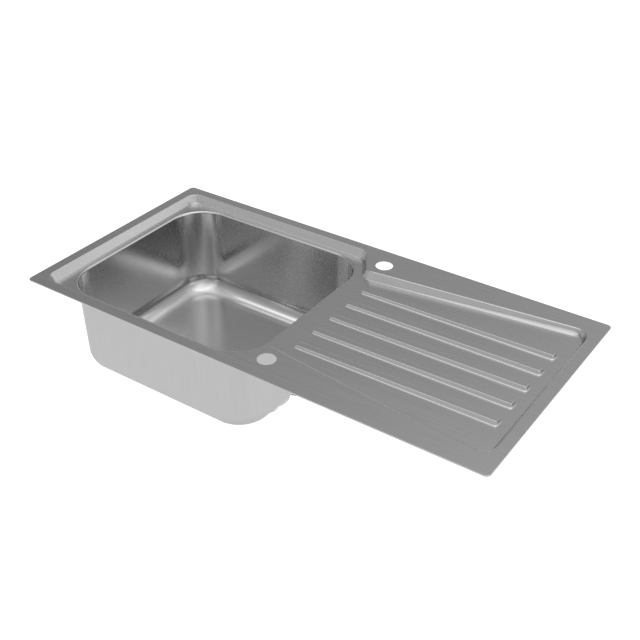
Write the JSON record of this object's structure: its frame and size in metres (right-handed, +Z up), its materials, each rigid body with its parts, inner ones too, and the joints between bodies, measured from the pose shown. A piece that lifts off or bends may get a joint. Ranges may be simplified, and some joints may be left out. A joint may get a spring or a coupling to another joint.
{
  "type": "kitchen sink with drainboard",
  "caption": "Stainless steel inset kitchen sink with a deep bowl, a ribbed drainboard, tap holes, a basket strainer waste, an overflow and swivelling clamps.",
  "frame": {"origin": "centre of the sink's rectangular rim, in the plane of the worktop's surface", "axes": "+X along the long side from the bowl towards the drainboard, +Y towards the back edge, +Z up out of the worktop"},
  "size_m": [1, 0.492, 0.3007],
  "materials": {
    "steel": "fine satin brushed stainless steel",
    "polished": "polished stainless steel",
    "zinc": "bright zinc-plated steel",
    "white_plastic": "moulded white polypropylene",
    "hose_plastic": "blow-moulded polyethylene",
    "nut_plastic": "moulded light grey polypropylene",
    "foam": "closed-cell foam",
    "pad": "bitumen damping sheet",
    "rubber": "matt black rubber"
  },
  "bodies": {
    "sink": {"sink_top": "steel", "bowl": "steel", "rim_seal": "foam", "sound_pad": "pad", "flange_seal": "rubber", "strainer_flange": "polished", "waste_seal": "rubber", "waste_body": "white_plastic", "waste_screw": "steel", "overflow_cover": "polished", "overflow_screw": "steel", "overflow_seal": "rubber", "overflow_body": "white_plastic", "overflow_hose": "hose_plastic", "hose_nuts": "nut_plastic", "clamp_brackets": "steel", "clamp_pivots": "zinc"},
    "basket": {"strainer_basket": "polished", "basket_stopper": "rubber", "basket_knob": "polished"},
    "clamp_frame_1": {"clamp_frame_1": "zinc"},
    "clamp_screw_1": {"clamp_screw_1": "zinc"},
    "clamp_claw_1": {"clamp_claw_1": "zinc"},
    "clamp_frame_2": {"clamp_frame_2": "zinc"},
    "clamp_screw_2": {"clamp_screw_2": "zinc"},
    "clamp_claw_2": {"clamp_claw_2": "zinc"},
    "clamp_frame_3": {"clamp_frame_3": "zinc"},
    "clamp_screw_3": {"clamp_screw_3": "zinc"},
    "clamp_claw_3": {"clamp_claw_3": "zinc"},
    "clamp_frame_4": {"clamp_frame_4": "zinc"},
    "clamp_screw_4": {"clamp_screw_4": "zinc"},
    "clamp_claw_4": {"clamp_claw_4": "zinc"},
    "clamp_frame_5": {"clamp_frame_5": "zinc"},
    "clamp_screw_5": {"clamp_screw_5": "zinc"},
    "clamp_claw_5": {"clamp_claw_5": "zinc"},
    "clamp_frame_6": {"clamp_frame_6": "zinc"},
    "clamp_screw_6": {"clamp_screw_6": "zinc"},
    "clamp_claw_6": {"clamp_claw_6": "zinc"},
    "clamp_frame_7": {"clamp_frame_7": "zinc"},
    "clamp_screw_7": {"clamp_screw_7": "zinc"},
    "clamp_claw_7": {"clamp_claw_7": "zinc"},
    "clamp_frame_8": {"clamp_frame_8": "zinc"},
    "clamp_screw_8": {"clamp_screw_8": "zinc"},
    "clamp_claw_8": {"clamp_claw_8": "zinc"}
  },
  "joints": [
    {"name": "basket_lift", "type": "slide", "parent": "sink", "child": "basket", "axis": [0, 0, 1], "range_m": [0, 0.06]},
    {"name": "clamp_swing_1", "type": "hinge", "parent": "sink", "child": "clamp_frame_1", "pos_m": [0.09, -0.19011, -0.02], "axis": [0, 0, -1], "range_deg": [0, 90]},
    {"name": "clamp_spin_1", "type": "hinge", "parent": "clamp_frame_1", "child": "clamp_screw_1", "pos_m": [0.09, -0.19011, -0.02], "axis": [0, 0, -1], "range_deg": [0, 6300]},
    {"name": "clamp_rise_1", "type": "slide", "parent": "clamp_frame_1", "child": "clamp_claw_1", "axis": [0, 0, 1], "range_m": [0, 0.0175]},
    {"name": "clamp_swing_2", "type": "hinge", "parent": "sink", "child": "clamp_frame_2", "pos_m": [0.23, -0.19011, -0.02], "axis": [0, 0, -1], "range_deg": [0, 90]},
    {"name": "clamp_spin_2", "type": "hinge", "parent": "clamp_frame_2", "child": "clamp_screw_2", "pos_m": [0.23, -0.19011, -0.02], "axis": [0, 0, -1], "range_deg": [0, 6300]},
    {"name": "clamp_rise_2", "type": "slide", "parent": "clamp_frame_2", "child": "clamp_claw_2", "axis": [0, 0, 1], "range_m": [0, 0.0175]},
    {"name": "clamp_swing_3", "type": "hinge", "parent": "sink", "child": "clamp_frame_3", "pos_m": [0.09, 0.19011, -0.02], "axis": [0, 0, 1], "range_deg": [0, 90]},
    {"name": "clamp_spin_3", "type": "hinge", "parent": "clamp_frame_3", "child": "clamp_screw_3", "pos_m": [0.09, 0.19011, -0.02], "axis": [0, 0, -1], "range_deg": [0, 6300]},
    {"name": "clamp_rise_3", "type": "slide", "parent": "clamp_frame_3", "child": "clamp_claw_3", "axis": [0, 0, 1], "range_m": [0, 0.0175]},
    {"name": "clamp_swing_4", "type": "hinge", "parent": "sink", "child": "clamp_frame_4", "pos_m": [0.23, 0.19011, -0.02], "axis": [0, 0, 1], "range_deg": [0, 90]},
    {"name": "clamp_spin_4", "type": "hinge", "parent": "clamp_frame_4", "child": "clamp_screw_4", "pos_m": [0.23, 0.19011, -0.02], "axis": [0, 0, -1], "range_deg": [0, 6300]},
    {"name": "clamp_rise_4", "type": "slide", "parent": "clamp_frame_4", "child": "clamp_claw_4", "axis": [0, 0, 1], "range_m": [0, 0.0175]},
    {"name": "clamp_swing_5", "type": "hinge", "parent": "sink", "child": "clamp_frame_5", "pos_m": [-0.468, -0.12, -0.02], "axis": [0, 0, 1], "range_deg": [0, 90]},
    {"name": "clamp_spin_5", "type": "hinge", "parent": "clamp_frame_5", "child": "clamp_screw_5", "pos_m": [-0.468, -0.12, -0.02], "axis": [0, 0, -1], "range_deg": [0, 6300]},
    {"name": "clamp_rise_5", "type": "slide", "parent": "clamp_frame_5", "child": "clamp_claw_5", "axis": [0, 0, 1], "range_m": [0, 0.0175]},
    {"name": "clamp_swing_6", "type": "hinge", "parent": "sink", "child": "clamp_frame_6", "pos_m": [-0.468, 0.12, -0.02], "axis": [0, 0, -1], "range_deg": [0, 90]},
    {"name": "clamp_spin_6", "type": "hinge", "parent": "clamp_frame_6", "child": "clamp_screw_6", "pos_m": [-0.468, 0.12, -0.02], "axis": [0, 0, -1], "range_deg": [0, 6300]},
    {"name": "clamp_rise_6", "type": "slide", "parent": "clamp_frame_6", "child": "clamp_claw_6", "axis": [0, 0, 1], "range_m": [0, 0.0175]},
    {"name": "clamp_swing_7", "type": "hinge", "parent": "sink", "child": "clamp_frame_7", "pos_m": [0.462, -0.12, -0.02], "axis": [0, 0, -1], "range_deg": [0, 90]},
    {"name": "clamp_spin_7", "type": "hinge", "parent": "clamp_frame_7", "child": "clamp_screw_7", "pos_m": [0.462, -0.12, -0.02], "axis": [0, 0, -1], "range_deg": [0, 6300]},
    {"name": "clamp_rise_7", "type": "slide", "parent": "clamp_frame_7", "child": "clamp_claw_7", "axis": [0, 0, 1], "range_m": [0, 0.0175]},
    {"name": "clamp_swing_8", "type": "hinge", "parent": "sink", "child": "clamp_frame_8", "pos_m": [0.462, 0.12, -0.02], "axis": [0, 0, 1], "range_deg": [0, 90]},
    {"name": "clamp_spin_8", "type": "hinge", "parent": "clamp_frame_8", "child": "clamp_screw_8", "pos_m": [0.462, 0.12, -0.02], "axis": [0, 0, -1], "range_deg": [0, 6300]},
    {"name": "clamp_rise_8", "type": "slide", "parent": "clamp_frame_8", "child": "clamp_claw_8", "axis": [0, 0, 1], "range_m": [0, 0.0175]}
  ],
  "couplings": [
    {"joint": "clamp_spin_1", "follows": "clamp_rise_1", "rad_per_m": 6283.2},
    {"joint": "clamp_spin_2", "follows": "clamp_rise_2", "rad_per_m": 6283.2},
    {"joint": "clamp_spin_3", "follows": "clamp_rise_3", "rad_per_m": 6283.2},
    {"joint": "clamp_spin_4", "follows": "clamp_rise_4", "rad_per_m": 6283.2},
    {"joint": "clamp_spin_5", "follows": "clamp_rise_5", "rad_per_m": 6283.2},
    {"joint": "clamp_spin_6", "follows": "clamp_rise_6", "rad_per_m": 6283.2},
    {"joint": "clamp_spin_7", "follows": "clamp_rise_7", "rad_per_m": 6283.2},
    {"joint": "clamp_spin_8", "follows": "clamp_rise_8", "rad_per_m": 6283.2}
  ]
}
